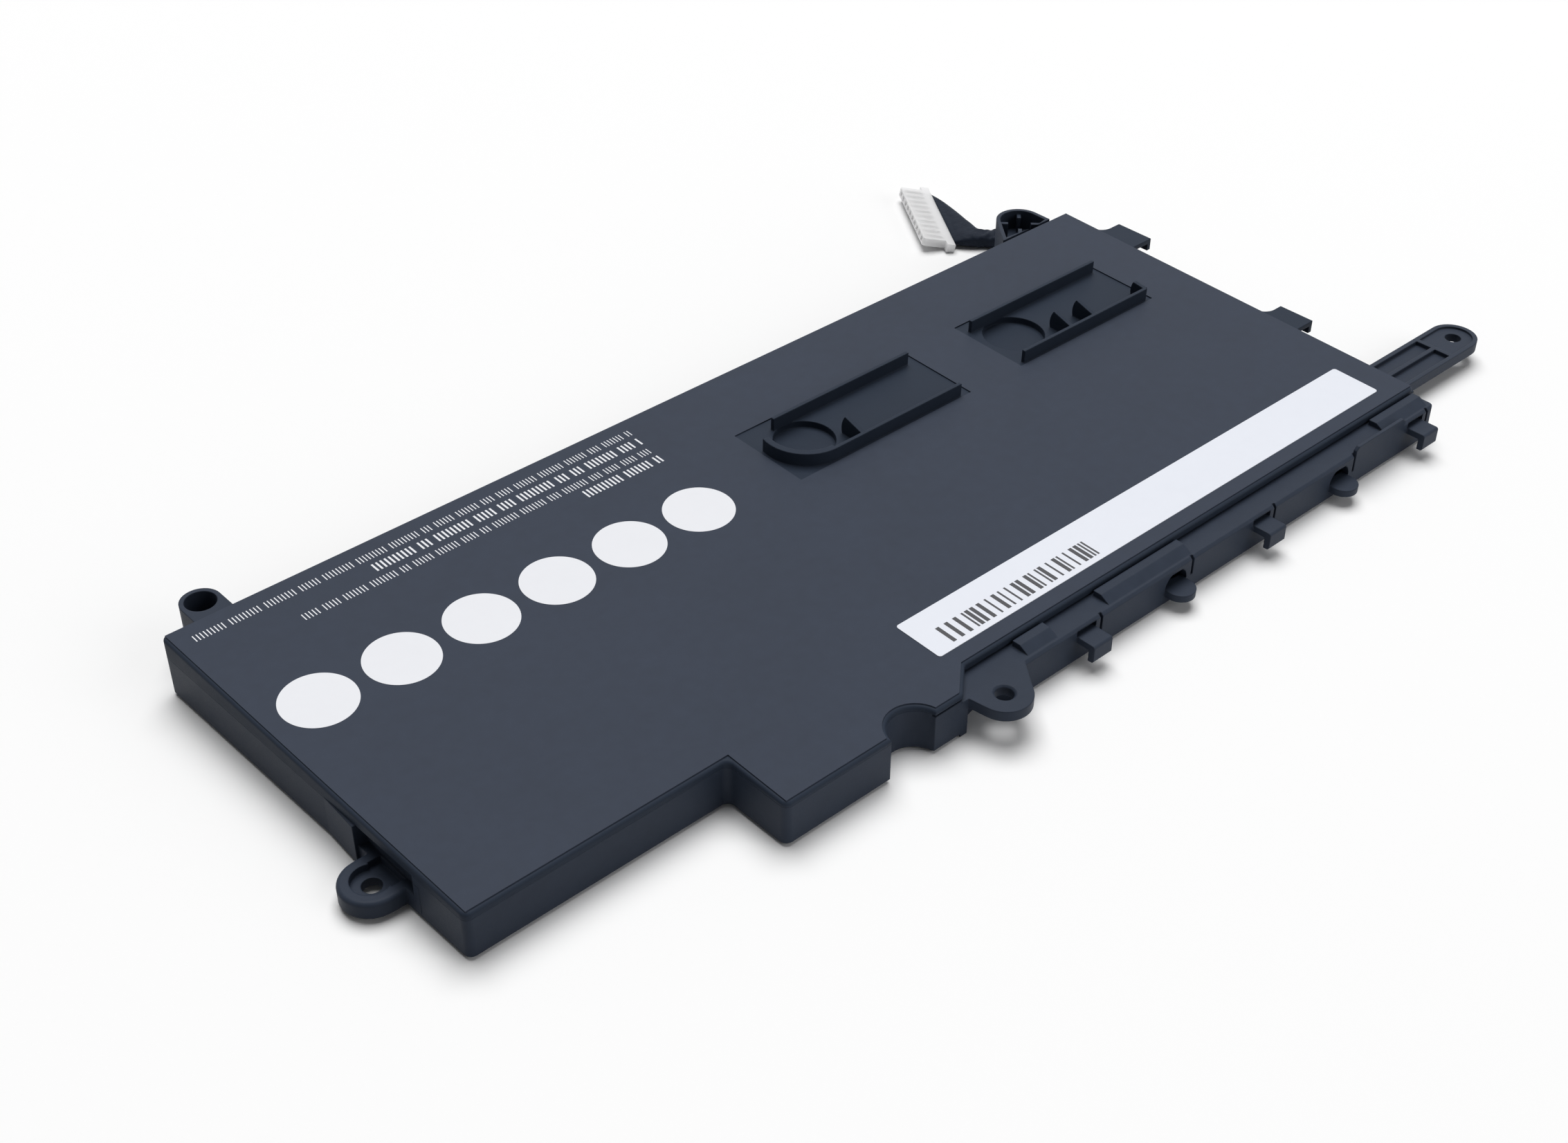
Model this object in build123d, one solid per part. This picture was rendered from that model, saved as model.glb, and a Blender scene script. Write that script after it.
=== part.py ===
"""Flat internal battery pack of a thin laptop.

A shallow moulded tub carries screw ears, an arm and a row of hooks. A cover with a sloping top closes it,
and a printed film lies on the cover. Two pouch cells in series, a protection board and the wires to a
short taped cable are inside.
"""
from build123d import *
from math import atan2, cos, radians, sin
import os

# The pack: X runs along it from the left wall, Y from the back wall (front is negative), Z up from the floor
body_length = 182.2
wide_depth = 79.0
step_depth = 11.0
step_x = 42.0
left_slant = 1.4
back_height = 9.9
front_height = 7.6
wall = 1.2
floor_thick = 1.0
seam_height = 6.7
fit_gap = 0.1
corner_radius = 1.1
bottom_edge = 0.5

# The front ledge, which is lower than the cover, and the round bite in front of it
ledge_height = 6.0
ledge_thick = 1.0
ledge_width = 4.1
ledge_left = 17.0
ledge_run_in = 4.6
ledge_edge = 0.4
shadow_gap = 0.35
notch_left = 26.1
notch_radius = 4.1
notch_out = 0.6

# The cover, the film on it and the white label on the film
cover_thick = 0.9
cover_edge = 0.45
film_thick = 0.2
film_inset = 0.5
lip_thick = 0.8
lip_depth = 1.2
label_length = 99.9
label_depth = 8.5
label_thick = 0.1
label_end = 5.9
label_in = 7.1
label_corner = 0.5

# Screw holes of the ears, the arm and the bosses
screw_radius = 1.35
screw_chamfer = 0.3
left_ear_in = 16.6
left_ear_out = 2.2
left_ear_low = 0.8
left_ear_radius = 4.3
left_ear_thick = 2.4
left_ear_recess_radius = 2.7
left_ear_recess = 1.1
ear_notch_width = 11.8
ear_notch_depth = 1.3
ear_flare = 0.5
ear_flare_run = 7.0
front_ear_in = 5.7
front_ear_out = 2.3
front_ear_radius = 4.0
front_ear_thick = 1.6
front_ear_foot = (4.5, 6.9)
front_ear_scallop = 5.0
arm_in = 11.8
arm_reach = 23.6
arm_radius = 4.0
arm_top = 4.1
arm_thick = 1.8
arm_rim = 0.8
arm_pocket = 0.7
arm_eye_pocket = 0.35
left_boss_x = 8.6
left_boss_out = 4.6
left_boss_radius = 3.0
left_boss_top = 8.6
right_boss_in = 8.4
right_boss_out = 3.5
right_boss_radius = 4.2
right_boss_top = 9.8
right_boss_bottom = 4.2
right_boss_flank = 8.0
boss_wall = 0.7
boss_seat = 2.0
boss_rib = 0.7

# The hooks and tongues along the ledge, and the two hooks of the right end
hook_count = 5
hook_first = 19.2
hook_end = 5.2
hook_width = 3.8
hook_reach = 3.2
hook_thick = 1.0
hook_leg = 1.8
hook_top = 4.7
hook_edge = 0.4
tongue_width = 4.6
tongue_top = 2.9
tongue_thick = 1.1
window_rise = 0.9
slit_width = 0.5
pad_rise = 0.9
pad_slope = (0.8, 2.4)
pad_gap = 0.35
pad_margins = ((8.0, -5.2), (5.5, 4.0), (-7.5, -1.0))
panel_rise = 1.1
panel_thick = 0.6
panel_corner = 0.6
panel_end = 3.0
end_hook_y = (-12.3, -48.4)
end_hook_width = (7.4, 6.6)
end_hook_reach = (4.8, 4.2)
end_hook_drop = 0.5
end_hook_thick = 0.8
end_hook_lip = 1.3
end_hook_web = 2.4

# The two patches of bare cover in the film, each with rails, a round dish and fins
patch_back = 14.7
patch_depth = 15.1
patch_in = (92.4, 44.1)
patch_length = (36.6, 32.7)
rail_in = (5.6, 1.2)
rail_length = (29.2, 30.4)
rail_back_y = -17.4
rail_span = 11.9
rail_thick = 0.6
rail_height = 2.0
dish_in = (7.8, 6.5)
dish_y = -22.1
dish_radius = (4.9, 5.2)
dish_depth = 1.1
dish_floor = 0.6
horn_radius = 7.2
horn_thick = 1.1
horn_sweep = 105.0
fin_in = ((13.3,), (12.6, 18.2, 31.2))
fin_height = ((3.0,), (3.0, 3.0, 2.2))
fin_length = ((4.0,), (4.0, 4.0, 2.4))
fin_thick = 0.7

# The cells: each lies on a sheet of adhesive, and its tabs reach the board in front of it
cell_thick = 5.2
cell_gap = 2.0
cell_x = 5.5
cell_side_gap = 0.2
cell_front_gap = 3.5
cell_back = 3.0
cell_corner = 2.5
cell_edge = 0.7
cell_terrace = 4.5
cell_seal = 0.5
adhesive_thick = 0.15
adhesive_inset = 3.0
foam_depth = 18.0
foam_length = 70.0
foam_in = 3.0
tab_width = 6.0
tab_thick = 0.15
tab_land = 3.6
tab_edge = 1.0
tab_pitch = (9.0, 13.0)

# The protection board and the parts on it
board_left_gap = 1.8
board_right_gap = 2.2
board_front_gap = 1.2
board_depth = 8.8
board_thick = 0.8
board_rib = 0.3
board_bite_gap = 0.4
plate_thick = 0.2
plate_depth = 4.2
paper_thick = 0.2

# The wires, the taped cable and its connector
wire_count = 8
wire_diameter = 0.6
wire_pitch = 0.64
wire_run = 8.5
wire_bend_in = 0.8
wire_first_bend = 3.6
slot_height = 1.8
slot_z = 1.6
sleeve_start = 1.6
connector_length = 20.8
connector_depth = 5.9
connector_height = 1.5
connector_angle = 57.3
connector_tilt = 12.5
connector_in = 8.7
connector_y = 26.6
connector_ear = (1.3, 1.6)
mouth_count = 10
empty_mouths = (3, 8)
contact_pitch = 1.98
contact_size = 0.7
contact_length = 4.0

# Places that follow from these sizes: the wire channel, the cells, then what is set out from their joint
narrow_depth = wide_depth - step_depth
channel_right = body_length - wall
channel_width = (wire_count - 1) * wire_pitch + wire_diameter + 2 * fit_gap
channel_x = channel_right - channel_width
wire_first_x = channel_x + fit_gap + wire_diameter / 2
wire_bend_x = wire_first_x - wire_first_bend
cell_length = (channel_x - cell_side_gap - cell_x - cell_gap) / 2
cell_depth = narrow_depth - cell_front_gap - cell_terrace - cell_back
cell_joint = cell_x + cell_length + cell_gap / 2
notch_x = cell_joint - notch_left
ledge_x = cell_joint - ledge_left
front_ear_x = ledge_x + front_ear_in
front_ear_y = -wide_depth - front_ear_out
hook_pitch = (body_length - hook_end - front_ear_x - hook_first) / (hook_count - 1)
hook_places = [front_ear_x + hook_first + hook_pitch * i for i in range(hook_count)]
left_ear_y = left_ear_in - narrow_depth
arm_y = arm_in - wide_depth
right_boss_x = body_length - right_boss_in
patch_x = [body_length - inward for inward in patch_in]
label_x = body_length - label_end - label_length
label_front = wide_depth - label_in
board_x = notch_x + notch_radius + wall + board_left_gap
board_length = channel_x - board_right_gap - board_x
board_front = wide_depth - wall - board_front_gap
board_back = board_depth - board_front
wire_bend_y = board_back + wire_bend_in
connector_x = body_length - connector_in

# The sloping top: parallel planes over the film, over the cover and under the cover
slope = (back_height - front_height) / wide_depth
tilt = atan2(back_height - front_height, wide_depth)
top_normal = (0, -sin(tilt), cos(tilt))


def top_plane(below):
    """The plane that lies this far below the film's face, with X along the pack."""
    return Plane(origin=(0, 0, back_height - below), x_dir=(1, 0, 0), z_dir=top_normal)


def top_at(y):
    """Height of the film's face at a distance y from the back wall."""
    return back_height + y * slope


cover_plane = top_plane(film_thick)
under_plane = top_plane(film_thick + cover_thick)
cover_front = wide_depth - ledge_width
sky = back_height + 10


def face(points):
    """A flat face from the corners of its outline."""
    return make_face(Polyline(*points, close=True))


def between(plan, low, high):
    """A straight-walled solid over a plan, from one height to another."""
    return extrude(Pos(0, 0, low) * plan, high - low)


def under(solid, plane):
    """The part of a solid that lies below a sloping plane."""
    return split(solid, bisect_by=plane, keep=Keep.BOTTOM)


def over(solid, plane):
    """The part of a solid that lies above a sloping plane."""
    return split(solid, bisect_by=plane, keep=Keep.TOP)


def block(x0, x1, y0, y1, z0, z1):
    """A box from its limits along each axis."""
    return Pos((x0 + x1) / 2, (y0 + y1) / 2, (z0 + z1) / 2) * Box(x1 - x0, y1 - y0, z1 - z0)


def along_x(profile, x0, x1):
    """A prism along X whose section is given by its corners in Y and Z."""
    return extrude(Plane((x0, 0, 0), x_dir=(0, 1, 0), z_dir=(1, 0, 0)) * face(profile), x1 - x0)


def post(x, y, radius, z0, z1):
    """An upright cylinder from one height to another."""
    return Pos(x, y, (z0 + z1) / 2) * Cylinder(radius, z1 - z0)


def screw_hole(x, y, top):
    """A through hole for a screw, with a chamfer at its mouth at the given height."""
    mouth = Pos(x, y, top - screw_chamfer / 2) * Cone(screw_radius, screw_radius + screw_chamfer, screw_chamfer)
    return post(x, y, screw_radius, -1, sky) + mouth


def notch(grow=0.0):
    """The round bite in the front wall, grown where a wall lies round it."""
    return Pos(notch_x, -wide_depth - notch_out) * Circle(notch_radius + grow)


left_corners = [(0, 0), (left_slant, -narrow_depth), (step_x, -narrow_depth), (step_x, -wide_depth)]
tub_corners = left_corners + [(body_length, -wide_depth), (body_length, 0)]
ledge_corners = [(ledge_x, -wide_depth), (ledge_x + ledge_run_in, -cover_front)]
cover_corners = left_corners + ledge_corners + [(body_length, -cover_front), (body_length, 0)]


def plan(corners, inset=0.0):
    """The plan of the tub or the cover, set in from its outer wall."""
    shape = face(corners)
    if inset:
        shape = offset(shape, -inset, kind=Kind.INTERSECTION)
    else:
        shape = fillet(shape.vertices(), corner_radius)
    return shape - notch(inset)


def wall_x(y):
    """Outer face of the left wall at a distance y from the back wall."""
    return -left_slant * y / narrow_depth


def hull(circle_x, circle_y, radius, foot):
    """Plan of an ear: a circle joined to a straight foot by its two tangents."""
    ring = Pos(circle_x, circle_y) * CenterArc((0, 0), radius, 0, 360)
    return make_hull(ring.edges() + Line(*foot).edges())


wire_z = floor_thick + board_rib + board_thick + wire_diameter / 2


def lower_housing():
    """The tub: floor, walls, ledge with hooks, screw ears, arm and bosses, moulded in one piece."""
    tub = between(plan(tub_corners), 0, ledge_height) + between(plan(cover_corners), 0, seam_height)
    low_edges = tub.faces().sort_by(Axis.Z)[0].outer_wire().edges()
    tub = chamfer(low_edges, bottom_edge)
    tub -= between(plan(cover_corners, wall), floor_thick, sky)
    tub -= between(plan(tub_corners, wall), floor_thick, ledge_height - ledge_thick)
    edge = [(-wide_depth, ledge_height - ledge_edge), (-wide_depth, sky), (-wide_depth + ledge_edge, sky),
            (-wide_depth + ledge_edge, ledge_height)]
    tub -= along_x(edge, ledge_x + ledge_run_in, body_length)
    tub -= block(notch_x, ledge_x + ledge_run_in / 2, -wide_depth - 1, -wide_depth + wall / 2,
                 seam_height - shadow_gap, seam_height)
    skirt_line = -cover_front + wall + fit_gap
    tub -= block(ledge_x + ledge_run_in, body_length + 1, -wide_depth - 1, skirt_line, ledge_height, sky)
    tub = left_ear(tub)
    tub = front_ear(tub)
    tub = arm(tub)
    tub = bosses(tub)
    tub = ledge_hooks(tub)
    for y in (-board_front + 1, -board_front + board_depth - 1):
        tub += block(board_x, board_x + board_length, y - 0.5, y + 0.5, floor_thick, floor_thick + board_rib)
    shelf_top = wire_z - wire_diameter / 2
    tub += block(channel_x, channel_right, wire_bend_y + 2, -wall, floor_thick, shelf_top)
    tub -= block(channel_x, channel_right, -wall - 1, 1, slot_z, slot_z + slot_height)
    tub += block(cell_joint - wall / 3, cell_joint + wall / 3, -cell_depth, -wall, floor_thick, cell_thick)
    return tub


def left_ear(tub):
    """Adds the low ear of the left end, its open recess, and the notch and flare of the wall beside it."""
    x = wall_x(left_ear_y) - left_ear_out
    r = left_ear_radius
    top = left_ear_low + left_ear_thick
    outline = Pos(x, left_ear_y) * Circle(r)
    outline += Pos(x + r / 2, left_ear_y) * Rectangle(r, 2 * r)
    ear = between(outline, left_ear_low, top)
    ear = fillet(ear.faces().sort_by(Axis.Z)[-1].outer_wire().edges(), left_ear_thick / 4)
    half = ear_notch_width / 2
    inner = wall_x(left_ear_y) + ear_notch_depth
    pad_top = seam_height - lip_depth - fit_gap
    back, front = left_ear_y + half, left_ear_y - half
    tub += block(inner - wall, inner + wall, front - wall, back + wall, floor_thick, pad_top)
    tub -= block(x - r, inner, front, back, top, sky)
    start = back + ear_flare_run
    flare = face([(wall_x(start), start), (wall_x(back) - ear_flare, back), (wall_x(back) + wall, back),
                  (wall_x(start) + wall, start)])
    tub += between(flare, bottom_edge, seam_height)
    tub += ear
    recess = Pos(x, left_ear_y) * Circle(left_ear_recess_radius)
    recess += Pos(x + r / 2, left_ear_y) * Rectangle(r - 2 * wall, 2 * left_ear_recess_radius)
    tub -= between(recess, top - left_ear_recess, top)
    return tub - post(x, left_ear_y, screw_radius, left_ear_low - 1, top)


def front_ear(tub):
    """Adds the ear at the start of the ledge, flush with the ledge's top, over a round scallop in the wall."""
    low = ledge_height - front_ear_thick
    shell = post(front_ear_x, front_ear_y, front_ear_scallop + wall, 0, low + wall)
    tub += shell & between(plan(tub_corners), 0, ledge_height)
    tub -= post(front_ear_x, front_ear_y, front_ear_scallop, -1, low)
    left, right = front_ear_foot
    root = -wide_depth + ledge_edge
    foot = ((front_ear_x - left, root), (front_ear_x + right, root))
    outline = hull(front_ear_x, front_ear_y, front_ear_radius, foot)
    tub += between(outline, low, ledge_height)
    return tub - screw_hole(front_ear_x, front_ear_y, ledge_height)


def arm(tub):
    """Adds the flat arm of the right end, with ribbed pockets and an eye for a screw."""
    eye = body_length + arm_reach
    low = arm_top - arm_thick
    root = body_length - wall / 2
    outline = Pos(eye, arm_y) * Circle(arm_radius)
    outline += Pos((root + eye) / 2, arm_y) * Rectangle(eye - root, 2 * arm_radius)
    tub += between(outline, low, arm_top)
    inner = arm_radius - arm_rim
    bar = eye - 1.5 * arm_radius
    pocket_y = (inner + arm_rim / 2) / 2
    pocket_width = inner - arm_rim / 2
    start = body_length + arm_rim
    for side in (-1, 1):
        y = arm_y + side * pocket_y
        tub -= block(start, bar, y - pocket_width / 2, y + pocket_width / 2, arm_top - arm_pocket, arm_top)
    ring = Pos(eye, arm_y) * Circle(inner)
    ring += Pos((bar + arm_rim + eye) / 2, arm_y) * Rectangle(eye - bar - arm_rim, 2 * inner)
    tub -= between(ring, arm_top - arm_eye_pocket, arm_top)
    return tub - post(eye, arm_y, screw_radius, low - 1, arm_top)


def bosses(tub):
    """Adds the two screw cups behind the back wall; the right one has ribs and a tapered flank."""
    left_foot = ((left_boss_x - left_boss_radius, 0), (left_boss_x + left_boss_radius, 0))
    cup = between(hull(left_boss_x, left_boss_out, left_boss_radius, left_foot), 0, left_boss_top)
    flank_x = right_boss_x - right_boss_flank
    right_foot = ((flank_x, 0), (right_boss_x + right_boss_radius, 0))
    right = hull(right_boss_x, right_boss_out, right_boss_radius, right_foot)
    right_well = offset(right, -boss_wall, kind=Kind.INTERSECTION)
    cup += between(right, right_boss_bottom, right_boss_top)
    cup -= block(-1, body_length, -body_length, fit_gap, seam_height, sky)
    tub += cup
    for x, y, r, low, top, ribbed in (
        (left_boss_x, left_boss_out, left_boss_radius, 0, left_boss_top, False),
        (right_boss_x, right_boss_out, right_boss_radius, right_boss_bottom, right_boss_top, True),
    ):
        seat = low + boss_seat
        well = post(x, y, r - boss_wall, seat, top)
        if ribbed:
            well = between(right_well, seat, top)
            rib_top = top - boss_wall
            for turn in (45, 135):
                well -= Pos(x, y, (seat + rib_top) / 2) * Rot(0, 0, turn) * Box(2 * r, boss_rib, rib_top - seat)
            well += post(x, y, screw_radius + boss_wall, seat, top)
        tub -= well
        tub -= post(x, y, screw_radius, low - 1, seat)
    return tub


def ledge_hooks(tub):
    """Adds the alternating square hooks and round tongues, the raised pads and the panel of the ledge."""
    front = -wide_depth
    for i, x in enumerate(hook_places):
        if i % 2 == 0:
            half = hook_width / 2
            mouth = half + fit_gap
            window = block(x - mouth, x + mouth, front - 1, front + wall + 1, hook_top, hook_top + window_rise)
            piece = block(x - half, x + half, front - hook_reach, front + wall, hook_top - hook_thick, hook_top)
            piece += block(x - half, x + half, front - hook_reach, front - hook_reach + hook_thick,
                           hook_top - hook_thick - hook_leg, hook_top)
            piece = fillet(piece.edges().filter_by(Axis.X).group_by(Axis.Y)[0], hook_edge)
        else:
            half = tongue_width / 2
            arch = Pos(x, 0, tongue_top) * Rot(90, 0, 0) * Circle(half + fit_gap)
            window = extrude(arch, wide_depth + 1, dir=(0, -1, 0))
            window &= block(x - body_length, x + body_length, front - 1, front + wall + 1,
                            tongue_top, ledge_height - ledge_thick)
            tip = Pos(x, front - hook_reach + half) * Circle(half)
            shank = hook_reach - half + wall
            tip += Pos(x, front + wall - shank / 2) * Rectangle(2 * half, shank)
            piece = between(tip, tongue_top - tongue_thick, tongue_top)
        tub -= window
        tub += piece
        slit = x + half + 2 * slit_width
        tub -= block(slit, slit + slit_width, front - 1, front + wall / 2, tongue_top, ledge_height + 1)
    pad_back = -cover_front - pad_gap
    pad_top = ledge_height + pad_rise
    section = [(front + pad_slope[0], ledge_height), (front + pad_slope[1], pad_top), (pad_back, pad_top),
               (pad_back, ledge_height - ledge_thick), (front + pad_slope[0], ledge_height - ledge_thick)]
    pad_ends = (front_ear_x, hook_places[0]), (hook_places[0], hook_places[1]), (hook_places[-1], body_length)
    for (left, right), (after, before) in zip(pad_ends, pad_margins):
        tub += along_x(section, left + after, right + before)
    panel = block(hook_places[-2] + tongue_width / 2 + 3 * slit_width, hook_places[-1] - panel_end,
                  front, front + panel_thick, ledge_height - ledge_thick, ledge_height + panel_rise)
    return tub + chamfer(panel.faces().sort_by(Axis.Z)[-1].edges().filter_by(Axis.Y), panel_corner)


def dish(i, grow=0.0, deep=0.0):
    """The round sunk dish of a patch, or with grown size the cup that carries it under the cover."""
    depth = dish_depth + deep
    place = cover_plane * Pos(patch_x[i] + dish_in[i], dish_y, -depth / 2)
    return place * Cylinder(dish_radius[i] + grow, depth)


def upper_cover():
    """The cover: sloping top plate, skirt, locating lip, end hooks, and the rails and dishes of the patches."""
    outer = between(plan(cover_corners), seam_height, sky)
    ledge_left = ledge_x + ledge_run_in + fit_gap
    outer += block(ledge_left, body_length, -cover_front, -cover_front + wall, ledge_height, seam_height)
    cover = under(outer, cover_plane)
    cover = fillet(cover.faces().sort_by(Axis.Z)[-1].outer_wire().edges(), cover_edge)
    cover -= under(between(plan(cover_corners, wall), ledge_height, sky), under_plane)
    lip_outer = wall + fit_gap
    lip = between(plan(cover_corners, lip_outer), seam_height - lip_depth, sky)
    lip -= between(plan(cover_corners, lip_outer + lip_thick), seam_height - lip_depth, sky)
    cover += under(lip, cover_plane)
    groove = -cover_front + wall / 2
    cover -= block(ledge_left, body_length + 1, -wide_depth, groove, ledge_height, ledge_height + shadow_gap)
    for y, width, reach in zip(end_hook_y, end_hook_width, end_hook_reach):
        top = top_at(y) - end_hook_drop
        right = body_length + reach
        low = top - end_hook_thick
        hook = block(body_length - wall / 2, right, y - width / 2, y + width / 2, low, top)
        hook += block(right - end_hook_thick, right, y - width / 2, y + width / 2, low - end_hook_lip, top)
        web_x, web_y = body_length + end_hook_web, y + width / 2 + end_hook_web
        hook += block(body_length - wall / 2, web_x, y + width / 2, web_y, low, top) - post(
            web_x, web_y, end_hook_web, low, top)
        cover += hook
    for i in range(2):
        cover += under(dish(i, grow=dish_floor, deep=dish_floor), cover_plane)
        cover -= dish(i)
        cover += rails(i)
    return cover


def rails(i):
    """Rails and fins of one patch, and on the first patch the curved horn round its dish."""
    rise = film_thick + rail_height
    left = patch_x[i] + rail_in[i]
    right = left + rail_length[i]
    dish_x = patch_x[i] + dish_in[i]
    front_y = rail_back_y - rail_span
    start = dish_x if i == 0 else left
    group = block(left, right, rail_back_y, rail_back_y + rail_thick, -film_thick, rise)
    group += block(start, right, front_y, front_y + rail_thick, -film_thick, rise)
    if i == 0:
        ring = Circle(horn_radius) - Circle(horn_radius - horn_thick)
        reach = 2 * horn_radius
        turn = radians(270 - horn_sweep)
        sector = make_face([
            Line((0, 0), (0, -reach)),
            CenterArc((0, 0), reach, 270, -horn_sweep),
            Line((0, 0), (reach * cos(turn), reach * sin(turn))),
        ])
        group += between(Pos(dish_x, front_y + horn_radius) * (ring & sector), -film_thick, rise)
    inner_y = front_y + rail_thick
    for inward, height, length in zip(fin_in[i], fin_height[i], fin_length[i]):
        top = film_thick + height
        root = inner_y - rail_thick / 2
        foot, tip = (inner_y + length, -film_thick), (inner_y + length * 0.9, top)
        edge = [
            Line((root, -film_thick), foot),
            ThreePointArc(foot, (inner_y + length * 1.05, top / 2), tip),
            Line(tip, (inner_y, rise)),
            Line((inner_y, rise), (root, rise)),
            Line((root, rise), (root, -film_thick)),
        ]
        upright = Plane((patch_x[i] + inward, 0, 0), x_dir=(0, 1, 0), z_dir=(1, 0, 0))
        group += extrude(upright * make_face(edge), fin_thick)
    return cover_plane * group


def on_film(shape, low, high):
    """A sheet cut to a plan, between two distances above the film's lower face."""
    sheet = between(shape, 0, sky)
    return under(over(sheet, top_plane(film_thick - low)), top_plane(film_thick - high))


def top_film():
    """The printed film on the cover, with a window over each patch."""
    shape = plan(cover_corners, film_inset)
    for x, length in zip(patch_x, patch_length):
        shape -= Pos(x + length / 2, -patch_back - patch_depth / 2) * Rectangle(length, patch_depth)
    return on_film(shape, 0, film_thick)


def white_label():
    """The long white sticker along the front of the film."""
    shape = Pos(label_x + label_length / 2, -label_front + label_depth / 2) * RectangleRounded(
        label_length, label_depth, label_corner)
    return on_film(shape, film_thick, film_thick + label_thick)


cell_low = floor_thick + adhesive_thick
cell_middle = cell_low + cell_thick / 2
cell_front = -cell_back - cell_depth
tab_start = cell_front - cell_terrace
board_low = floor_thick + board_rib
board_top = board_low + board_thick
cell_places = {"left": cell_x, "right": cell_x + cell_length + cell_gap}


def cell(x):
    """A sealed pouch cell: a soft-edged block with a flat sealed terrace along its front."""
    body = block(x, x + cell_length, cell_front, -cell_back, cell_low, cell_low + cell_thick)
    body = fillet(body.edges().filter_by(Axis.Z), cell_corner)
    rims = body.faces().sort_by(Axis.Z)[-1].edges() + body.faces().sort_by(Axis.Z)[0].edges()
    body = chamfer(rims, cell_edge)
    low = cell_middle - cell_seal / 2
    return body + block(x, x + cell_length, tab_start, cell_front + cell_corner, low, low + cell_seal)


def adhesive(x):
    """The sheet of double-sided tape that holds a cell down."""
    inset = adhesive_inset
    right = x + cell_length - inset
    return block(x + inset, right, cell_front + inset, -cell_back - inset, floor_thick, cell_low)


def foam(x):
    """A foam pad on a cell, wedge-shaped because the cover slopes."""
    middle = x + cell_length / 2
    front = cell_front + foam_in
    half = foam_length / 2
    pad = block(middle - half, middle + half, front, front + foam_depth, cell_low + cell_thick, sky)
    return under(pad, under_plane)


def tab(x):
    """A thin metal tab, stepped down from the cell's terrace to its plate on the board."""
    land = board_top + plate_thick
    high = cell_middle - tab_thick / 2
    bend = board_back + 1
    end = board_back - tab_land
    under_line = [(tab_start, high), (tab_start - 1, high), (bend - 1, land), (end, land)]
    over_line = [(y, z + tab_thick) for y, z in reversed(under_line)]
    return along_x(under_line + over_line, x, x + tab_width)


left_tab = cell_joint - cell_gap / 2 - tab_edge - tab_width
right_tab = cell_joint + cell_gap / 2 + tab_edge
tab_x = {
    "cell_left_negative_tab": left_tab - tab_pitch[0],
    "cell_left_positive_tab": left_tab,
    "cell_right_negative_tab": right_tab,
    "cell_right_positive_tab": right_tab + tab_pitch[1],
}
plate_margin = 1.0
plate_ends = {
    "negative_plate": ("cell_left_negative_tab", "cell_left_negative_tab"),
    "middle_plate": ("cell_left_positive_tab", "cell_right_negative_tab"),
    "positive_plate": ("cell_right_positive_tab", "cell_right_positive_tab"),
}


def plate(first, last):
    """A nickel plate on the board, under one tab or joining two."""
    left = tab_x[first] - plate_margin
    right = tab_x[last] + tab_width + plate_margin
    back = board_back - 0.2
    return block(left, right, back - plate_depth, back, board_top, board_top + plate_thick)


def tab_insulator():
    """The strip of paper that covers the welded tabs."""
    low = board_top + plate_thick + tab_thick
    left = tab_x["cell_left_negative_tab"] - 2 * plate_margin
    right = tab_x["cell_right_positive_tab"] + tab_width + 2 * plate_margin
    back = board_back - plate_margin
    return block(left, right, back - tab_land, back, low, low + paper_thick)


# Parts on the board, in a row from the plates to the wires: distance of the middle from the front, and size
chips = {
    "thermal_fuse": (4.4, 4.4, 3.0, 1.0),
    "sense_resistor": (4.6, 3.2, 6.3, 0.6),
    "discharge_switch": (4.6, 5.0, 6.0, 1.0),
    "charge_switch": (4.6, 5.0, 6.0, 1.0),
    "gauge_chip": (4.6, 5.0, 5.0, 0.9),
    "protector_chip": (5.4, 3.0, 3.0, 0.8),
    "thermistor": (7.4, 1.6, 0.8, 0.6),
}
row_margin = 3.0
row_start = tab_x["cell_right_positive_tab"] + tab_width + plate_margin + row_margin
row_end = wire_bend_x - wire_run - row_margin
row_gap = (row_end - row_start - sum(spec[1] for spec in chips.values())) / (len(chips) - 1)
chip_edge = 0.12
capacitor_count = 6
capacitor_pitch = 2.6
capacitor_start = 2.0
capacitor_size = (1.6, 0.8, 0.7)
capacitor_front = 0.7


def chip(x, middle, length, depth, height):
    """A small moulded part on the board, its top edges slightly bevelled."""
    y = middle - board_front
    body = block(x, x + length, y - depth / 2, y + depth / 2, board_top, board_top + height)
    return chamfer(body.faces().sort_by(Axis.Z)[-1].edges(), chip_edge)


def protection_board():
    """The bare circuit board, with a round bite where the tub's wall goes round the front ear's scallop."""
    board = block(board_x, board_x + board_length, -board_front, board_back, board_low, board_top)
    bite = front_ear_scallop + wall + board_bite_gap
    return board - post(front_ear_x, front_ear_y, bite, board_low, board_top)


def board_capacitors():
    """A row of small capacitors along the front edge of the board."""
    length, depth, height = capacitor_size
    first = row_start + capacitor_start
    places = [first + i * capacitor_pitch for i in range(capacitor_count)]
    return Compound([chip(x, capacitor_front, length, depth, height) for x in places])


def wire(i):
    """One wire: from its pad along the board, round the corner and along the channel to the cable."""
    bend = wire_first_bend + i * wire_pitch
    corner = (wire_bend_x + bend, wire_bend_y - bend, wire_z)
    end = (corner[0], -sleeve_start, wire_z)
    path = FilletPolyline((wire_bend_x - wire_run, corner[1], wire_z), corner, end, radius=bend)
    outline = RegularPolygon(wire_diameter / 2, 8, major_radius=False, rotation=22.5)
    return sweep(Plane(origin=path @ 0, z_dir=path % 0) * outline, path=path)


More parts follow.
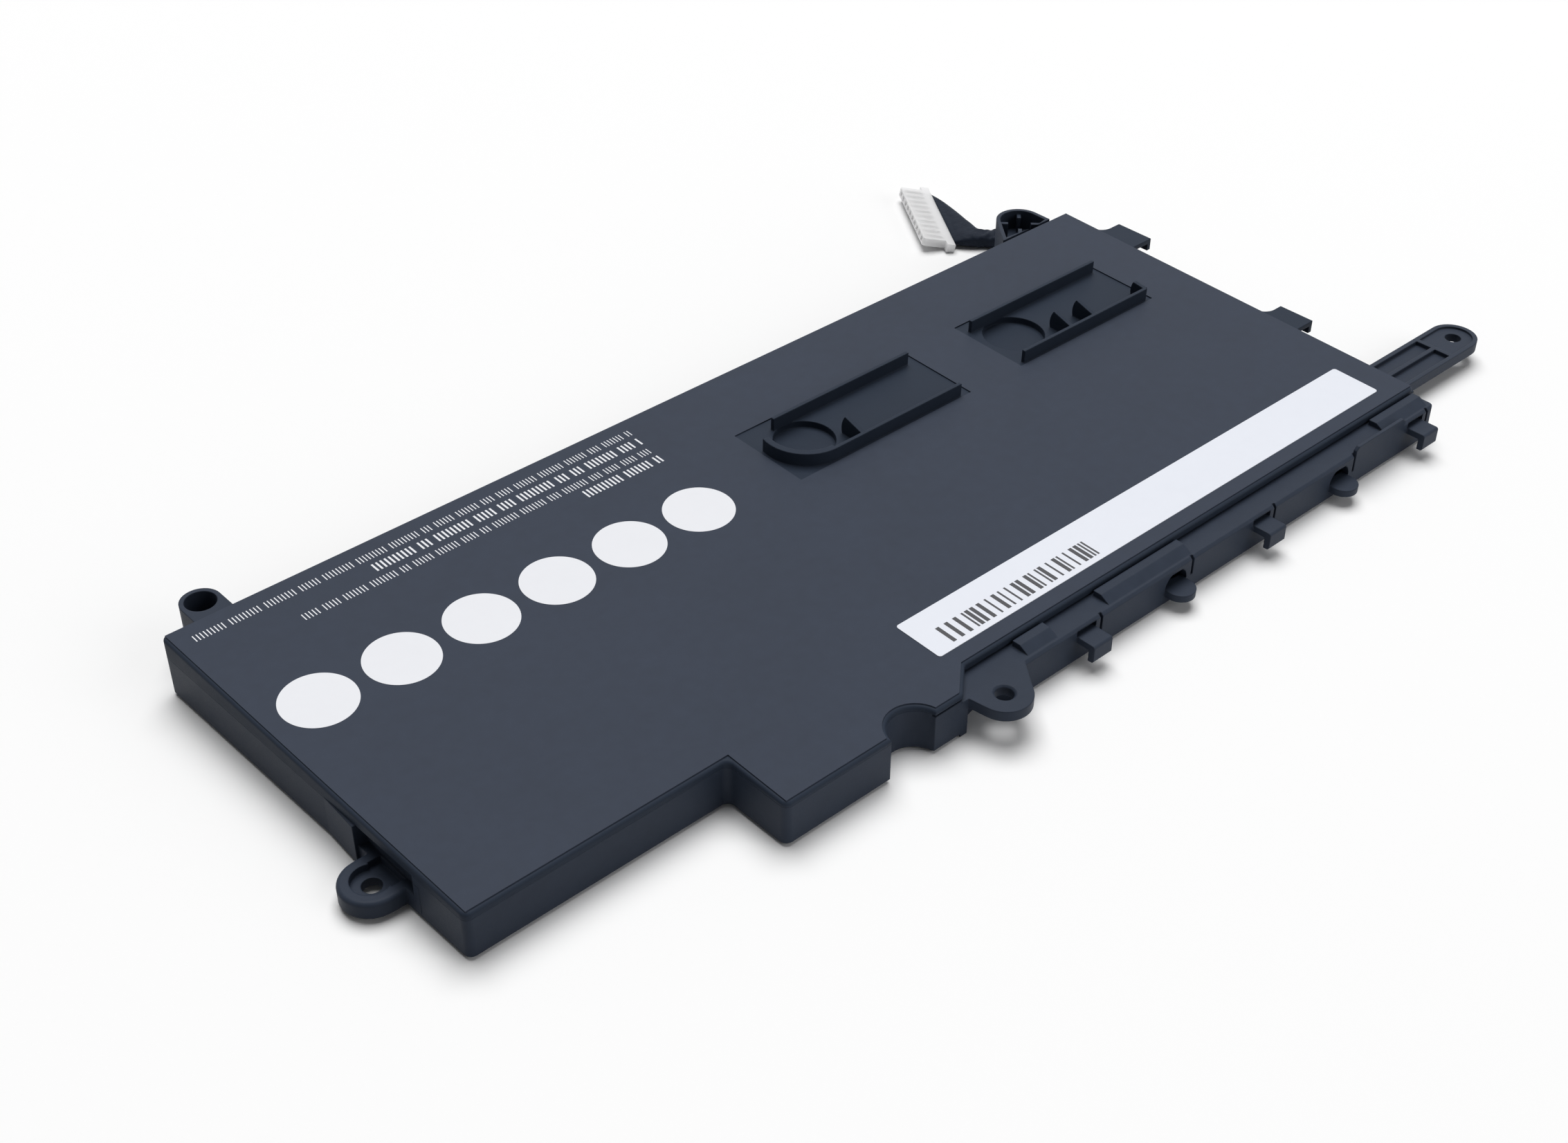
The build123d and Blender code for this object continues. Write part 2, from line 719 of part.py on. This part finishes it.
connector_rise = connector_depth / 2 * sin(radians(connector_tilt))
connector_turn = Rot(0, 0, connector_angle) * Rot(connector_tilt, 0, 0)
connector_place = Pos(connector_x, connector_y, connector_rise) * connector_turn
sleeve_entry = connector_place * Pos(0, -connector_depth / 2, connector_height / 2) * Rot(-90, 0, 0)


def cable_sleeve():
    """The taped bundle: flat in the wall, bunched behind it, then fanned out to the connector."""
    middle = (channel_x + channel_right) / 2
    width = wire_count * wire_pitch
    stations = [
        ((middle, -sleeve_start, slot_z + slot_height / 2), 90, width - 0.4, slot_height - 0.3),
        ((middle, 2.0, 2.4), 90, width - 0.4, slot_height - 0.3),
        ((middle + 0.1, 8.0, 1.6), 94, width - 0.9, 2.2),
        ((middle - 1.1, 12.2, 1.3), 112, width - 0.9, 2.4),
        ((middle - 3.6, 15.4, 1.3), 124, width, 2.4),
    ]
    sections = []
    for centre, heading, span, depth in stations:
        along = (cos(radians(heading)), sin(radians(heading)), 0)
        across = (along[1], -along[0], 0)
        sections.append(Plane(origin=centre, x_dir=across, z_dir=along) * Rectangle(span, depth))
    sections.append(sleeve_entry * Rectangle(connector_length - 1.2, connector_height - 0.4))
    return loft(sections, ruled=True)


def mouth_places():
    """Places of the mouths along the connector, from its middle."""
    return [(i - (mouth_count - 1) / 2) * contact_pitch for i in range(mouth_count)]


def connector_housing():
    """The white connector: a flat block with a row of square mouths and a small ear at each end."""
    body = Pos(0, 0, connector_height / 2) * Box(connector_length, connector_depth, connector_height)
    body = chamfer(body.edges().filter_by(Axis.Z), 0.3)
    for side in (-1, 1):
        ear = Pos(side * connector_length / 2, (connector_ear[1] - connector_depth) / 2, connector_height / 2)
        body += ear * Box(2 * connector_ear[0], connector_ear[1], connector_height)
    mouth = contact_size + 2 * fit_gap
    for x in mouth_places():
        place = Pos(x, (connector_depth - contact_length) / 2, connector_height / 2)
        body -= place * Box(mouth, contact_length, mouth)
    return connector_place * body


def connector_contacts():
    """The contacts in the connector's mouths, each a small square tube seated on the mouth's floor."""
    low = connector_height / 2 - fit_gap
    seat = (connector_depth - contact_length) / 2
    rows = []
    for i, x in enumerate(mouth_places()):
        if i in empty_mouths:
            continue
        tube = Box(contact_size, contact_length - 1, contact_size) - Pos(0, 1, 0) * Box(
            contact_size / 2, contact_length - 1, contact_size / 2)
        rows.append(connector_place * Pos(x, seat - 0.5, low) * tube)
    return Compound(rows)


wire_names = ["positive_wire_outer", "positive_wire_inner", "clock_wire", "data_wire",
              "temperature_wire", "identity_wire", "negative_wire_inner", "negative_wire_outer"]

nodes = {
    "lower_housing": lower_housing(),
    "upper_cover": upper_cover(),
    "top_film": top_film(),
    "white_label": white_label(),
    "protection_board": protection_board(),
    "tab_insulator": tab_insulator(),
    "board_capacitors": board_capacitors(),
    "cable_sleeve": cable_sleeve(),
    "connector_housing": connector_housing(),
    "connector_contacts": connector_contacts(),
}
for side, x in cell_places.items():
    nodes["cell_" + side] = cell(x)
    nodes["cell_adhesive_" + side] = adhesive(x)
    nodes["foam_pad_" + side] = foam(x)
for name, x in tab_x.items():
    nodes[name] = tab(x)
for name, ends in plate_ends.items():
    nodes[name] = plate(*ends)
x = row_start
for name, spec in chips.items():
    nodes[name] = chip(x, *spec)
    x += spec[1] + row_gap
for i, name in enumerate(wire_names):
    nodes[name] = wire(i)

# The finished pack stands with the middle of its footprint over the origin
boxes = [shape.bounding_box() for shape in nodes.values()]
low = [min(getattr(box.min, axis) for box in boxes) for axis in "XYZ"]
high = [max(getattr(box.max, axis) for box in boxes) for axis in "XYZ"]
stand = Pos(-(low[0] + high[0]) / 2, -(low[1] + high[1]) / 2, -low[2])

os.makedirs("parts", exist_ok=True)
for name, shape in nodes.items():
    export_step(stand * shape, "parts/" + name + ".step")
print("size", [round(b - a, 2) for a, b in zip(low, high)], "moved by", [round(v, 3) for v in stand.position])
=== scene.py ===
"""Dresses the flat laptop battery pack: moulded case, printed film, sticker, taped cable and connector."""
import math

import bpy
import numpy as np
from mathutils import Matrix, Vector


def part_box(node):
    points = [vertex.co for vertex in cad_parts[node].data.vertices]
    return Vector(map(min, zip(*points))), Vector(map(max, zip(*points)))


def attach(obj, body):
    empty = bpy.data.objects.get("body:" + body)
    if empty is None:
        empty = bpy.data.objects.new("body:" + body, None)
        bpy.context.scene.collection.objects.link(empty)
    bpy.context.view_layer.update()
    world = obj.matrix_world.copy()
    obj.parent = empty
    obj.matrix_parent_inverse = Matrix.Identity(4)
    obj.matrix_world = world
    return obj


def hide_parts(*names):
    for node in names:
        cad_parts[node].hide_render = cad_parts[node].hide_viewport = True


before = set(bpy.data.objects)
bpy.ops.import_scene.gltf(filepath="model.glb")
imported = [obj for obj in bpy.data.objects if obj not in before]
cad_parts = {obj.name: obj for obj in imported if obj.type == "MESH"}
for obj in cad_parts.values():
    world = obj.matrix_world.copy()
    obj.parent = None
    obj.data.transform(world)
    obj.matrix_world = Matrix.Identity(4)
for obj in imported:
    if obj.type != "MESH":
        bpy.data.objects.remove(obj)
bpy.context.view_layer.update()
bpy.context.scene.view_settings.view_transform = "Standard"


# Lower housing: one moulding of dark slate plastic. Floor, walls, ledge, hooks, ears, arm and screw cups
# are all part of it. The mould was spark-eroded, so the skin has a fine matt grain over faint flow clouds.
class Field:
    """A value that varies over a surface: a shader socket whose arithmetic adds Math nodes."""

    def __init__(self, socket):
        self.socket = socket

    def node(self, kind, settings, inputs, output=0):
        """Adds a node of this type: its settings first, then the values or links of its sockets."""
        tree = self.socket.id_data
        new = tree.nodes.new(kind)
        for name, value in settings.items():
            setattr(new, name, value)
        for name, value in inputs.items():
            if isinstance(value, Field):
                tree.links.new(value.socket, new.inputs[name])
            else:
                new.inputs[name].default_value = value
        return Field(new.outputs[output])

    def math(self, operation, *values):
        """Adds a Math node on these values."""
        return self.node("ShaderNodeMath", {"operation": operation}, dict(enumerate(values)))

    def __add__(self, other):
        return self.math("ADD", self, other)

    def __mul__(self, other):
        return self.math("MULTIPLY", self, other)

    __radd__ = __add__
    __rmul__ = __mul__

    def noise(self, size, detail=2.0, rough=0.5):
        """Soft random value between 0 and 1 whose spots are about this many metres across."""
        inputs = {"Vector": self, "Scale": 1 / size, "Detail": detail, "Roughness": rough}
        return self.node("ShaderNodeTexNoise", {"noise_dimensions": "3D"}, inputs)

    def between(self, dark, light):
        """Colour that goes from dark to light as this value goes from 0 to 1; each may vary too."""
        first, last = (end if isinstance(end, Field) else (*end, 1) for end in (dark, light))
        return self.node("ShaderNodeMix", {"data_type": "RGBA"}, {0: self, 6: first, 7: last}, 2)

    def bump(self, height, under=None):
        """Normal of a surface whose relief is this value times a height in metres, on a normal under it."""
        inputs = {"Height": self, "Distance": height}
        return self.node("ShaderNodeBump", {}, inputs if under is None else inputs | {"Normal": under})

    def rounded(self, radius):
        """Normal of a surface whose sharp edges are softened to this radius."""
        return self.node("ShaderNodeBevel", {"samples": 6}, {"Radius": radius})


def surface(name, fixed):
    """A new material with fixed values on its shader, the place of each point, and a call that feeds it."""
    material = bpy.data.materials.new(name)
    material.use_nodes = True
    shader = material.node_tree.nodes["Principled BSDF"]
    for socket, value in fixed.items():
        shader.inputs[socket].default_value = value
    place = material.node_tree.nodes.new("ShaderNodeTexCoord").outputs["Object"]

    def feed(**values):
        for socket, value in values.items():
            material.node_tree.links.new(value.socket, shader.inputs[socket.replace("_", " ")])

    return material, Field(place), feed


def grained(name, dark, light, grain, rough, relief, shine=0.3, edge=0):
    """A skin with a fine grain in relief and gloss, clouds in colour and gloss, and softened edges."""
    wide_cloud, small_cloud = 0.012, 0.002
    grain_gloss, cloud_gloss = 0.16, 0.2
    material, place, feed = surface(name, {"Specular IOR Level": shine})
    cloud = place.noise(wide_cloud, 3.0) * 0.5 + place.noise(small_cloud, 2.0) * 0.5
    spark = place.noise(grain, 2.0, 0.6)
    least_rough = rough - (grain_gloss + cloud_gloss) / 2
    feed(Base_Color=cloud.between(dark, light),
         Roughness=spark * grain_gloss + cloud * cloud_gloss + least_rough,
         Normal=spark.bump(relief, place.rounded(edge) if edge else None))
    return material


def dress(node, material):
    """Gives a carried-over node its material."""
    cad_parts[node].data.materials.clear()
    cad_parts[node].data.materials.append(material)


mould_grain, mould_relief, mould_edge = 0.00022, 0.000012, 0.0003
housing_dark, housing_light = (0.020, 0.027, 0.042), (0.034, 0.044, 0.066)
housing_plastic = grained("housing_plastic", housing_dark, housing_light, mould_grain, 0.48, mould_relief,
                          shine=0.09, edge=mould_edge)
dress("lower_housing", housing_plastic)


# Cells and tabs: two pouches of silver laminate, sealed and trimmed, each with an aluminium tab and a
# nickel tab. They lie on milky double-sided tape, and foam pads on them take up the space to the cover.
def rolled(name, dark, light, rough):
    """Bare rolled metal: long fine streaks along the pack, in colour, gloss and relief."""
    streak_wide, streak_squeeze, streak_gloss, streak_relief = 0.0003, 0.06, 0.2, 0.000004
    material, place, feed = surface(name, {"Metallic": 1.0})
    drawn = place.node("ShaderNodeMapping", {}, {"Vector": place, "Scale": (streak_squeeze, 1, 1)})
    streak = drawn.noise(streak_wide, 3.0)
    feed(Base_Color=streak.between(dark, light),
         Roughness=streak * streak_gloss + (rough - streak_gloss / 2),
         Normal=streak.bump(streak_relief))
    return material


pouch_foil = rolled("pouch_foil", (0.52, 0.53, 0.55), (0.66, 0.67, 0.69), 0.42)
aluminium = rolled("tab_aluminium", (0.7, 0.7, 0.71), (0.84, 0.84, 0.85), 0.3)
nickel = rolled("nickel", (0.52, 0.5, 0.46), (0.68, 0.66, 0.61), 0.34)
adhesive = grained("adhesive", (0.66, 0.65, 0.58), (0.76, 0.75, 0.68), 0.0006, 0.6, 0.00002)
foam = grained("foam", (0.02, 0.02, 0.022), (0.045, 0.045, 0.05), 0.0005, 0.9, 0.00012)
for side in ("left", "right"):
    dress("cell_adhesive_" + side, adhesive)
    dress("cell_" + side, pouch_foil)
    dress(f"cell_{side}_positive_tab", aluminium)
    dress(f"cell_{side}_negative_tab", nickel)
    dress("foam_pad_" + side, foam)


# Protection board: glass-fibre laminate under green solder mask, in the bay in front of the cells. It
# carries nickel plates for the tabs, black moulded chips and ceramic parts; pressed paper covers the welds.
board_mask = grained("board", (0.012, 0.085, 0.045), (0.02, 0.12, 0.062), 0.0004, 0.3, 0.000006)
chip_resin = grained("chip", (0.012, 0.012, 0.014), (0.022, 0.022, 0.024), 0.00012, 0.5, 0.000005)
ceramic = grained("ceramic", (0.3, 0.2, 0.12), (0.42, 0.31, 0.2), 0.0002, 0.45, 0.000004)
weld_paper = grained("paper", (0.34, 0.4, 0.3), (0.46, 0.52, 0.41), 0.0002, 0.8, 0.00001)
dress("protection_board", board_mask)
for node in ("negative_plate", "middle_plate", "positive_plate"):
    dress(node, nickel)
for node in ("sense_resistor", "discharge_switch", "charge_switch", "gauge_chip", "protector_chip"):
    dress(node, chip_resin)
for node in ("thermal_fuse", "thermistor", "board_capacitors"):
    dress(node, ceramic)
dress("tab_insulator", weld_paper)


# Wires: thin strand in soft coloured insulation with a slight sheen. They lie side by side from the board's
# end, round the corner and along the channel beside the right cell, to the slot in the back wall.
wire_grain, wire_rough, wire_relief = 0.0003, 0.42, 0.000004
for colour, dark, light, pair in (
    ("red", (0.36, 0.015, 0.015), (0.5, 0.03, 0.03), ("positive_wire_outer", "positive_wire_inner")),
    ("white", (0.66, 0.66, 0.63), (0.8, 0.8, 0.77), ("clock_wire", "data_wire")),
    ("yellow", (0.55, 0.4, 0.04), (0.7, 0.55, 0.08), ("temperature_wire", "identity_wire")),
    ("black", (0.012, 0.012, 0.014), (0.025, 0.025, 0.027), ("negative_wire_inner", "negative_wire_outer")),
):
    insulation = grained("wire_" + colour, dark, light, wire_grain, wire_rough, wire_relief)
    for node in pair:
        dress(node, insulation)


# Upper cover: moulded in the same slate plastic as the tub, and closed onto it. It shows bare in the two
# patches with the rails, at its rounded edge round the film, and at the two hooks of the right end.
cover_dark, cover_light = (0.0205, 0.0280, 0.0435), (0.0265, 0.0360, 0.0545)
cover_plastic = grained("cover_plastic", cover_dark, cover_light, mould_grain, 0.5, mould_relief,
                        shine=0.06, edge=mould_edge)
dress("upper_cover", cover_plastic)


# Film: a thin slate polyester sheet, satin, glued to the sloping cover and printed in white. The print is
# set out on that slope from the pack's back left corner: six discs in a row, and four rows of strokes.
film_dark, film_light = (0.0300, 0.0375, 0.0545), (0.0470, 0.0580, 0.0840)
dress("top_film", grained("film", film_dark, film_light, 0.00016, 0.55, 0.000006, shine=0.08))
cover_low, cover_high = (np.array(limit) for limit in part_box("upper_cover"))
corner = np.array((cover_low[0], cover_high[1]))
film_back, film_front, film_depth = 0.0099, 0.0076, 0.079
slope = (film_back - film_front) / film_depth
ink_thick = 0.00002


def printed(name, outlines, ground, material):
    """One piece of ink: each outline is a row of corners, laid on the film's slope at the height of its
    ground, and closed by a top, a bottom and a rim as thick as the ink."""
    x, y = outlines[..., 0], outlines[..., 1]
    base = np.stack([x + corner[0], y + corner[1], film_back + y * slope + ground], axis=-1)
    points = np.stack([base, base + (0, 0, ink_thick)])
    under, over = np.arange(2 * x.size).reshape(2, *x.shape)
    rim = np.stack([under, np.roll(under, -1, 1), np.roll(over, -1, 1), over], axis=-1).reshape(-1, 4)
    faces = over.tolist() + under[:, ::-1].tolist() + rim.tolist()
    mesh = bpy.data.meshes.new(name)
    mesh.from_pydata(points.reshape(-1, 3).tolist(), [], faces)
    mesh.materials.append(material)
    piece = bpy.data.objects.new(name, mesh)
    bpy.context.collection.objects.link(piece)
    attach(piece, "root")


def discs(centres, radius):
    """Outlines of discs: each centre plus a circle in 96 steps."""
    turn = np.linspace(0, 2 * np.pi, 96, endpoint=False)
    return centres[:, None, :] + radius * np.stack([np.cos(turn), np.sin(turn)], axis=-1)


def bars(left, right, low, high):
    """Outlines of upright bars: four corners for each pair of left and right edges."""
    x = np.stack([left, right, right, left], axis=1)
    y = np.broadcast_to([low, low, high, high], x.shape)
    return np.stack([x, y], axis=-1)


def hatch(start, stop, middle, tall, thin, pitch):
    """A row of plain upright strokes at an even pitch; after each three to nine of them one is left out."""
    place = np.arange(int((stop - start) / pitch))
    spaces = np.cumsum(dice.integers(4, 11, len(place)))
    left = start + pitch * place[~np.isin(place, spaces)]
    return bars(left, left + thin, middle - tall / 2, middle + tall / 2)


ink_dark, ink_light = (0.785, 0.795, 0.83), (0.825, 0.835, 0.87)
white_ink = grained("white_ink", ink_dark, ink_light, 0.0002, 0.5, 0.000003, shine=0.2)
disc_count, disc_radius = 6, 0.0054
first_disc, last_disc = (0.00902, -0.02495), (0.07342, -0.0255)
disc_centres = np.linspace(first_disc, last_disc, disc_count)
printed("print_discs", discs(disc_centres, disc_radius), 0, white_ink)
dice = np.random.default_rng(4)
row_end = 0.0785
fine, bold = (0.0014, 0.00016, 0.00055), (0.0018, 0.0003, 0.0007)
rows = ((0.0031, -0.0037, fine), (0.0299, -0.0064, bold), (0.0166, -0.0093, fine), (0.0631, -0.0119, bold))
strokes = np.concatenate([hatch(start, row_end, middle, *stroke) for start, middle, stroke in rows])
printed("print_strokes", strokes, 0, white_ink)


# White label: a paper sticker with a half-gloss face, stuck along the front of the film. A plain random
# pattern of thin dark bars is printed on its left end.
label_dark, label_light = (0.765, 0.790, 0.858), (0.805, 0.830, 0.897)
dress("white_label", grained("label_paper", label_dark, label_light, 0.0005, 0.42, 0.000003, shine=0.2))
dark_ink = grained("dark_ink", (0.035, 0.036, 0.042), (0.05, 0.051, 0.058), 0.0002, 0.45, 0.000002)
label_thick = 0.0001
bar_unit, most_bars = 0.00033, 64
bar_start, bar_end, bar_front, bar_back = 0.0801, 0.1104, -0.0709, -0.0673
wide, space = bar_unit * dice.integers(1, 3, most_bars), bar_unit * dice.integers(1, 4, most_bars)
left = bar_start + np.cumsum(wide + space) - wide - space
kept = left < bar_end
label_bars = bars(left[kept], (left + wide)[kept], bar_front, bar_back)
printed("label_bars", label_bars, label_thick, dark_ink)


# Cable: eight wires wrapped in black cloth tape. The bundle leaves the back wall flat, bunches up, then
# fans out to the connector; the tape is creased across its length where the bundle turns.
def glide(table, steps):
    """Smooth curve through the rows of a table: each span is a cubic, and its slope at a row is half the
    way from the row before to the row after."""
    rows = np.vstack([2 * table[0] - table[1], table, 2 * table[-1] - table[-2]])
    s = np.linspace(0, len(table) - 1, steps)
    i = np.minimum(s.astype(int), len(table) - 2)
    u = (s - i)[:, None]
    a, b, c, d = rows[i], rows[i + 1], rows[i + 2], rows[i + 3]
    return b + 0.5 * u * (c - a + u * (2 * a - 5 * b + 4 * c - d + u * (3 * (b - c) + d - a)))


def taped(table, around, steps):
    """Soft tube: ovals with full corners, as wide as the span and as high as the depth, stand across the
    heading and lean to one side. Sine creases run round them, deepest at the bunch half way along, and
    shallow folds run over the fan. No point is lower than the gap over the floor."""
    fullness, bunch_middle, bunch_half, fan_start = 0.6, 0.5, 0.2, 0.55
    crease_wide, crease_high, bunch_high, fold_high = 0.03, 0.04, 0.07, 0.0005
    x, y, z, heading, span, depth, lean = glide(table, steps).T[:, :, None]
    s = np.linspace(0, 1, steps)[:, None]
    turn = np.linspace(0, 2 * np.pi, around, endpoint=False)[None, :]
    side = np.sign(np.cos(turn)) * np.abs(np.cos(turn)) ** fullness
    rise = np.sign(np.sin(turn)) * np.abs(np.sin(turn)) ** fullness
    bunch = np.exp(-((s - bunch_middle) / bunch_half) ** 2)
    crease = np.sin(60 * s + 2.2 * np.sin(2 * turn + 9 * s)) + 0.7 * np.sin(97 * s + 3 * turn + 1)
    fold = np.sin(5 * side + 14 * s) * np.clip(s - fan_start, 0, 1) * (1 - s)
    heading, lean = np.radians(heading), np.radians(lean)
    across = span / 2 * side * (1 + crease_wide * bunch * crease)
    up = depth / 2 * rise * (1 + (crease_high + bunch_high * bunch) * crease) + fold_high * fold
    return np.stack([x + across * np.sin(heading) - up * np.cos(heading) * np.sin(lean),
                     y - across * np.cos(heading) - up * np.sin(heading) * np.sin(lean),
                     np.maximum(z + up * np.cos(lean), floor_gap)], axis=-1)


floor_gap = 0.00005
cable_around, cable_steps = 56, 140
# Each station: x and y from the corner, height, heading, span, depth and lean, in millimetres and degrees.
stations = np.array([
    (178.36, -1.6, 2.5, 90, 4.7, 1.5, 0),
    (178.36, 2.0, 2.4, 90, 4.7, 1.5, 0),
    (178.46, 8.0, 1.6, 94, 4.2, 2.2, 0),
    (177.26, 12.2, 1.35, 112, 4.2, 2.4, 0),
    (174.76, 15.4, 1.35, 124, 5.1, 2.4, 4),
    (176.08, 24.88, 0.98, 147.3, 19.6, 1.1, 12.5)])
stations[:, [0, 1, 2, 4, 5]] *= 0.001
stations[:, :2] += corner
grid = taped(stations, cable_around, cable_steps)
index = np.arange(grid[..., 0].size).reshape(grid.shape[:2])
ahead = np.roll(index, -1, 1)
quads = np.stack([index[:-1], index[1:], ahead[1:], ahead[:-1]], axis=-1).reshape(-1, 4)
caps = [index[0].tolist(), index[-1][::-1].tolist()]
mesh = bpy.data.meshes.new("cable_tape")
mesh.from_pydata(grid.reshape(-1, 3).tolist(), [], quads.tolist() + caps)
mesh.polygons.foreach_set("use_smooth", np.ones(len(mesh.polygons), dtype=bool))
tape = bpy.data.objects.new("cable_tape", mesh)
bpy.context.collection.objects.link(tape)
tape_dark, tape_light, tape_relief = (0.010, 0.014, 0.023), (0.022, 0.028, 0.042), 0.00012
weave_size, crumple_size = 0.0003, 0.0016
cloth_tape, place, feed = surface("sleeve_tape", {"Specular IOR Level": 0.04})
weave, crumple = place.noise(weave_size, 2.0), place.noise(crumple_size, 3.0)
feed(Base_Color=crumple.between(tape_dark, tape_light), Roughness=weave * 0.2 + 0.42,
     Normal=(weave * 0.3 + crumple).bump(tape_relief))
mesh.materials.append(cloth_tape)
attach(tape, "root")
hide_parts("cable_sleeve")


# Connector: a small flat block of milky white nylon on the cable's end, which light shines a little way
# into. A plated contact is clipped into each loaded mouth.
nylon_dark, nylon_light, nylon_depth = (0.76, 0.76, 0.77), (0.82, 0.82, 0.83), 0.004
nylon_cloud, nylon_grain, nylon_relief, nylon_edge = 0.004, 0.0002, 0.000005, 0.0002
nylon, place, feed = surface("connector_plastic", {"Subsurface Weight": 0.7, "Subsurface Radius": (1, 1, 1),
                                                   "Subsurface Scale": nylon_depth})
cloud = place.noise(nylon_cloud, 2.0)
feed(Base_Color=cloud.between(nylon_dark, nylon_light), Roughness=cloud * 0.1 + 0.35,
     Normal=place.noise(nylon_grain).bump(nylon_relief, place.rounded(nylon_edge)))
dress("connector_housing", nylon)
dress("connector_contacts", rolled("contact", (0.55, 0.38, 0.15), (0.75, 0.56, 0.27), 0.28))


# Stage: a plain white floor, a wide soft light overhead, a weaker one in front, and the camera where the
# photograph was taken.
# Floor and sky are pale to the eye, and throw less light than that at the pack; the floor's bounced light
# carries painted shade.
def seen(place):
    """1 for rays that show the stage, straight, mirrored or through something clear; 0 for the others."""
    camera_ray, glossy_ray, clear_ray = (
        place.node("ShaderNodeLightPath", {}, {}, f"Is {kind} Ray")
        for kind in ("Camera", "Glossy", "Transmission"))
    return camera_ray + glossy_ray + clear_ray


floor_drop, floor_half = 0.0001, 2.5
square = np.array([(-1, -1), (1, -1), (1, 1), (-1, 1)]) * floor_half
floor_mesh = bpy.data.meshes.new("floor")
floor_mesh.from_pydata([(*point, -floor_drop) for point in square.tolist()], [], [(0, 1, 2, 3)])
floor = bpy.data.objects.new("floor", floor_mesh)
bpy.context.collection.objects.link(floor)
white, painted_shade_grey, fade_length = (0.97, 0.97, 0.97), (0.4, 0.4, 0.4), 0.1
paper, place, feed = surface("floor_paper", {"Roughness": 0.9, "Specular IOR Level": 0.1})
# Painted shade: for rays that light the pack, the floor turns from white to grey across a 0.1 m band
# towards the back left, so less light bounces onto the pack's left side.
front = place.node("ShaderNodeVectorMath", {"operation": "DOT_PRODUCT"}, {0: place, 1: (1, -1, 0)}, "Value")
painted_shade_bounce = (front * (1 / fade_length) + 1).between(painted_shade_grey, white)
feed(Base_Color=seen(place).between(painted_shade_bounce, white))
floor_mesh.materials.append(paper)

world = bpy.data.worlds.new("studio")
world.use_nodes = True
sky = world.node_tree.nodes["Background"]
sky_dim, sky_pale = (0.1, 0.1, 0.1), (1, 1, 1)
sky_colour = seen(Field(sky.outputs[0])).between(sky_dim, sky_pale)
world.node_tree.links.new(sky_colour.socket, sky.inputs["Color"])
bpy.context.scene.world = world


def softbox(name, place, size, power):
    """A square lamp that faces the pack."""
    lamp = bpy.data.lights.new(name, "AREA")
    lamp.size = size
    lamp.energy = power
    holder = bpy.data.objects.new(name, lamp)
    holder.location = place
    x, y, z = place
    holder.rotation_euler = (math.atan2(math.hypot(x, y), z), 0, math.atan2(y, x) + math.pi / 2)
    bpy.context.collection.objects.link(holder)


softbox("key", (1.5, 1.875, 7.125), 6.0, 594.0)
softbox("fill", (2.625, -6.375, 3.0), 5.25, 130.0)

eye_from_corner, eye_height = np.array((-0.08642, -0.21948)), 0.1879
eye_angles = (52.865, -0.116, -42.243)
lens = bpy.data.cameras.new("camera")
lens.sensor_width = 36.0
lens.lens = 48.3756
lens.clip_start = 0.01
camera = bpy.data.objects.new("camera", lens)
camera.location = (*(corner + eye_from_corner), eye_height)
camera.rotation_euler = tuple(math.radians(angle) for angle in eye_angles)
bpy.context.collection.objects.link(camera)
bpy.context.scene.camera = camera
